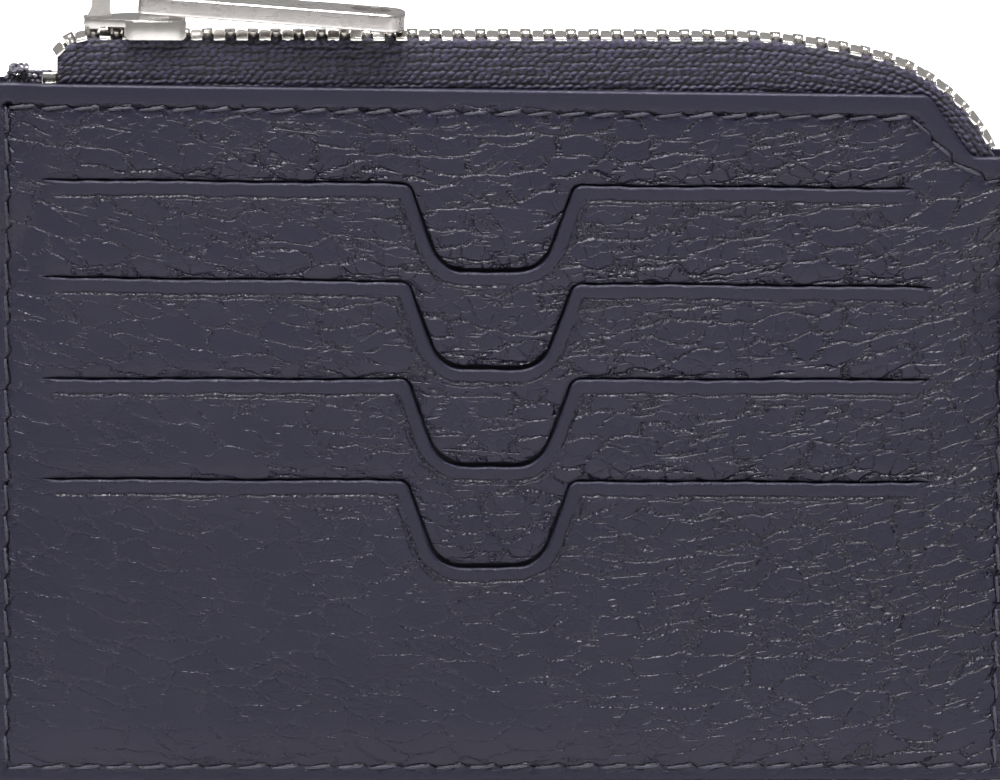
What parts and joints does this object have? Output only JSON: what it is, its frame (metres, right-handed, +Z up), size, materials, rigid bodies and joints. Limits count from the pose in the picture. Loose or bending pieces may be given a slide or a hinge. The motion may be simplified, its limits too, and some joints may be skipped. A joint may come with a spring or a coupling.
{
  "type": "card holder",
  "caption": "Slim leather card holder with stepped card slots with thumb notches in front and a zipped compartment whose metal chain curves round one corner.",
  "frame": {"origin": "on the ground plane, under the middle of the object, which stands upright on its bottom edge", "axes": "+Z up towards the zip, +X to the right seen from the front, the card slots face -Y"},
  "size_m": [0.105, 0.0085, 0.0834],
  "materials": {
    "leather": "pebble-grain leather, satin",
    "lining": "fine plain-weave lining",
    "tape": "herringbone-woven zip tape",
    "thread": "waxed polyester thread",
    "teeth": "polished nickel plate",
    "slider": "polished nickel plate"
  },
  "bodies": {
    "holder": {"front_panel": "leather", "back_panel": "leather", "card_pocket_1": "lining", "card_pocket_2": "lining", "card_pocket_3": "lining", "card_pocket_4": "lining", "front_lining": "lining", "back_lining": "lining", "zip_tape_front": "tape", "zip_tape_back": "tape", "zip_teeth_front": "teeth", "zip_teeth_back": "teeth", "zip_top_stops": "teeth", "zip_bottom_stop": "teeth", "perimeter_stitching": "thread", "zip_stitching_front": "thread", "zip_stitching_back": "thread"},
    "slider": {"slider_body": "slider", "slider_bridge": "slider"},
    "pull": {"pull_tab": "slider"}
  },
  "joints": [
    {"name": "zip_slide", "type": "slide", "parent": "holder", "child": "slider", "axis": [1, 0, 0], "range_m": [0, 0.0545], "deforming": ["zip_teeth_front", "zip_teeth_back"]},
    {"name": "pull_flip", "type": "hinge", "parent": "slider", "child": "pull", "pos_m": [-0.0368, 0, 0.08065], "axis": [0, -1, 0], "range_deg": [0, 185]}
  ]
}
